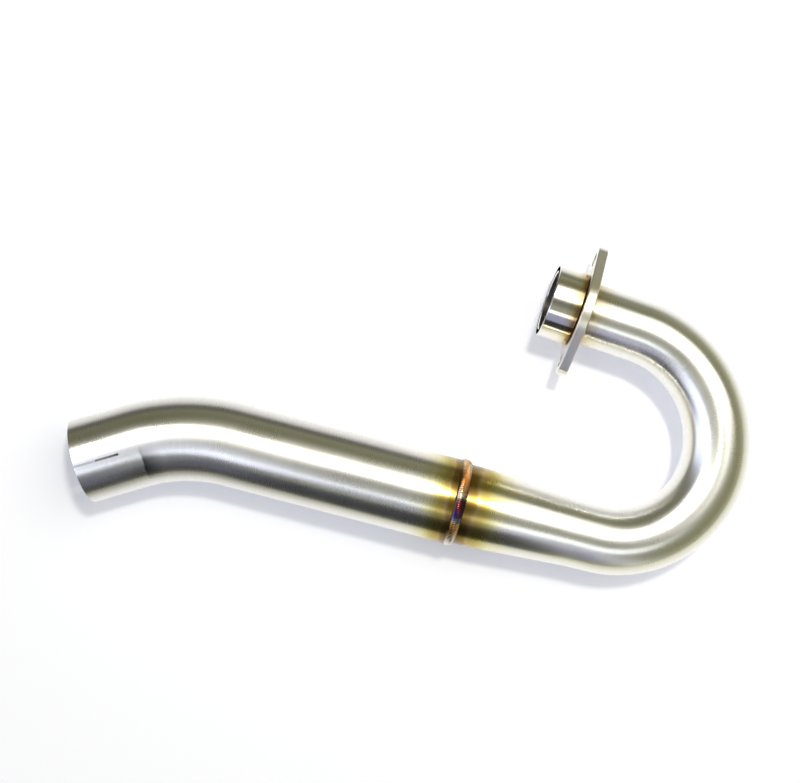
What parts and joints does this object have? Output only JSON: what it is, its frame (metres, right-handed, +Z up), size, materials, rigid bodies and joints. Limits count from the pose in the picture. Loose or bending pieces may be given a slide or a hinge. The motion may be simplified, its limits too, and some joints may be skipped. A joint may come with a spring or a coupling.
{
  "type": "motorcycle exhaust header",
  "caption": "Bent stainless exhaust header: a port collar with a loose stud flange, and a U-bend that opens through a cone into a larger welded pipe with a slotted outlet.",
  "frame": {"origin": "centre of the port collar's mouth, on the port axis", "axes": "+X along the port axis into the pipe, +Z up from the surface that the header lies on"},
  "size_m": [0.3902, 0.2405, 0.0524],
  "materials": {
    "brushed_stainless": "satin, brushed",
    "polished_stainless": "turned and polished",
    "flange_steel": "bright, tumbled edges",
    "weld_bead": "heat-tinted filler metal"
  },
  "bodies": {
    "header": {"head_pipe": "brushed_stainless", "mid_pipe": "brushed_stainless", "port_collar": "polished_stainless", "collar_weld": "weld_bead", "joint_weld": "weld_bead"},
    "flange": {"stud_flange": "flange_steel"}
  },
  "joints": [
    {"name": "flange_slide", "type": "slide", "parent": "header", "child": "flange", "axis": [1, 0, 0], "range_m": [-0.0005, 0.032]}
  ]
}
